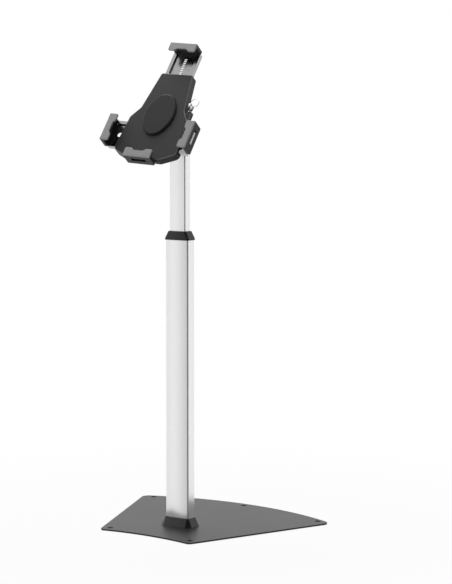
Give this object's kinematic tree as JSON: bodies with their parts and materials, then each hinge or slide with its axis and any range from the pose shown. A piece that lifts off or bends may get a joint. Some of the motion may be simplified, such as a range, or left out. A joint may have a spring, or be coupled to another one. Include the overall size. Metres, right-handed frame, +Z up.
{
  "type": "tablet floor stand",
  "caption": "Floor stand with a fan-shaped plate, a telescoping column and a turning, tilting clamp whose padded jaws hold a tablet by its edges and lock with a key.",
  "frame": {"origin": "on the floor, on the axis of the column", "axes": "+Z up, -Y the way the clamp faces when it looks straight ahead, +X on the right of someone in front of it"},
  "size_m": [0.4538, 0.3956, 0.9486],
  "materials": {
    "plate_coat": "fine-textured satin powder coat",
    "tube_metal": "satin anodised",
    "collar_plastic": "moulded, satin",
    "cover_plastic": "fine-grained moulded",
    "cap_plastic": "smooth satin",
    "jaw_plastic": "moulded, satin",
    "lip_rubber": "soft matt pad",
    "arm_steel": "satin zinc-plated sheet steel",
    "joint_metal": "black coated casting",
    "black_screws": "black oxide",
    "zinc_steel": "bright zinc",
    "bright_nickel": "nickel plated",
    "white_nylon": "moulded nylon",
    "black_nylon": "moulded nylon",
    "knob_plastic": "moulded grip",
    "pad_rubber": "matt",
    "brass": "turned"
  },
  "bodies": {
    "stand": {"base_plate": "plate_coat", "floor_pads": "pad_rubber", "foot_flange": "plate_coat", "foot_bolts": "zinc_steel", "base_collar": "collar_plastic", "outer_tube": "tube_metal", "guide_strips": "white_nylon", "mid_collar": "collar_plastic", "clamp_bush": "brass"},
    "clamp_screw": {"clamp_screw": "knob_plastic"},
    "clamp_shoe": {"clamp_shoe": "brass"},
    "mast": {"inner_tube": "tube_metal", "lower_glide": "white_nylon", "mast_screws": "zinc_steel", "mast_cap": "collar_plastic", "pan_bolt": "zinc_steel", "pan_nut": "zinc_steel"},
    "yoke": {"pan_yoke": "joint_metal", "tilt_bolt": "zinc_steel", "tilt_nut": "zinc_steel", "tilt_washers": "zinc_steel"},
    "tilt_head": {"tilt_head": "joint_metal", "friction_ring": "black_nylon", "hub_bush": "black_nylon", "hub_retainer": "zinc_steel", "hub_bolt": "zinc_steel"},
    "clamp": {"front_cover": "cover_plastic", "back_plate": "cover_plastic", "cover_screws": "black_screws", "oval_cap": "cap_plastic", "bottom_arm": "arm_steel", "bottom_jaw": "jaw_plastic", "bottom_jaw_screws": "black_screws", "bottom_lip": "lip_rubber", "lock_barrel": "joint_metal", "pinion_pin": "zinc_steel", "pawl_pin": "zinc_steel", "pawl_spring": "zinc_steel", "bar_keeper": "black_nylon"},
    "top_arm": {"top_arm": "arm_steel", "top_jaw": "jaw_plastic", "top_jaw_screws": "black_screws", "top_lip": "lip_rubber"},
    "right_arm": {"right_arm": "arm_steel", "right_jaw": "jaw_plastic", "right_jaw_screws": "black_screws", "right_lip": "lip_rubber", "right_rack": "zinc_steel"},
    "left_arm": {"left_arm": "arm_steel", "left_jaw": "jaw_plastic", "left_jaw_screws": "black_screws", "left_lip": "lip_rubber", "left_rack": "zinc_steel"},
    "pinion": {"pinion": "white_nylon"},
    "lock_plug": {"lock_plug": "bright_nickel", "key": "bright_nickel"},
    "lock_bar": {"lock_bar": "zinc_steel"},
    "pawl": {"pawl": "zinc_steel"},
    "key_ring": {"key_ring": "bright_nickel", "spare_key": "bright_nickel"}
  },
  "joints": [
    {"name": "mast_slide", "type": "slide", "parent": "stand", "child": "mast", "axis": [0, 0, 1], "range_m": [-0.15, 0.245]},
    {"name": "clamp_screw_turn", "type": "hinge", "parent": "stand", "child": "clamp_screw", "pos_m": [0, 0.02, 0.544], "axis": [0, -1, 0], "range_deg": [0, 144]},
    {"name": "clamp_shoe_press", "type": "slide", "parent": "stand", "child": "clamp_shoe", "axis": [0, -1, 0], "range_m": [0, 0.0004]},
    {"name": "pan_turn", "type": "hinge", "parent": "mast", "child": "yoke", "pos_m": [0, 0, 0.7525], "axis": [0, 0, 1], "range_deg": [-98.5, 81.5]},
    {"name": "tilt_turn", "type": "hinge", "parent": "yoke", "child": "tilt_head", "pos_m": [0.00566, -0.03788, 0.7764], "axis": [0.989, 0.1478, 0], "range_deg": [-54.8, 35.2]},
    {"name": "clamp_turn", "type": "hinge", "parent": "tilt_head", "child": "clamp", "pos_m": [0.01025, -0.06859, 0.7983], "axis": [0.1208, -0.8082, 0.5764], "continuous": true},
    {"name": "top_arm_slide", "type": "slide", "parent": "clamp", "child": "top_arm", "axis": [0.0013, 0.5808, 0.814], "range_m": [-0.0504, 0.0252]},
    {"name": "side_arm_slide", "type": "slide", "parent": "clamp", "child": "right_arm", "axis": [0.9927, 0.0976, -0.0712], "range_m": [-0.017, 0.025]},
    {"name": "left_arm_slide", "type": "slide", "parent": "clamp", "child": "left_arm", "axis": [-0.9927, -0.0976, 0.0712], "range_m": [-0.017, 0.025]},
    {"name": "pinion_turn", "type": "hinge", "parent": "clamp", "child": "pinion", "pos_m": [0.01079, -0.09935, 0.76374], "axis": [0.1208, -0.8082, 0.5764], "range_deg": [-139.65, 205.13]},
    {"name": "lock_turn", "type": "hinge", "parent": "clamp", "child": "lock_plug", "pos_m": [0.06811, -0.06823, 0.79796], "axis": [-0.0013, -0.5808, -0.814], "range_deg": [0, 90]},
    {"name": "lock_bar_slide", "type": "slide", "parent": "clamp", "child": "lock_bar", "axis": [0.9927, 0.0976, -0.0712], "range_m": [0, 0.00382]},
    {"name": "pawl_turn", "type": "hinge", "parent": "clamp", "child": "pawl", "pos_m": [0.01155, -0.0543, 0.83602], "axis": [-0.9927, -0.0976, 0.0712], "range_deg": [0, 1.91]},
    {"name": "key_ring_swing", "type": "hinge", "parent": "lock_plug", "child": "key_ring", "pos_m": [0.06816, -0.04971, 0.82392], "axis": [0.9927, 0.0976, -0.0712], "range_deg": [0, 35]}
  ],
  "couplings": [
    {"joint": "clamp_shoe_press", "follows": "clamp_screw_turn", "m_per_rad": 0.00015915},
    {"joint": "left_arm_slide", "follows": "side_arm_slide", "ratio": 1},
    {"joint": "pinion_turn", "follows": "side_arm_slide", "rad_per_m": 142.86},
    {"joint": "lock_bar_slide", "follows": "lock_turn", "m_per_rad": 0.0024309},
    {"joint": "pawl_turn", "follows": "lock_turn", "ratio": 0.021111}
  ]
}
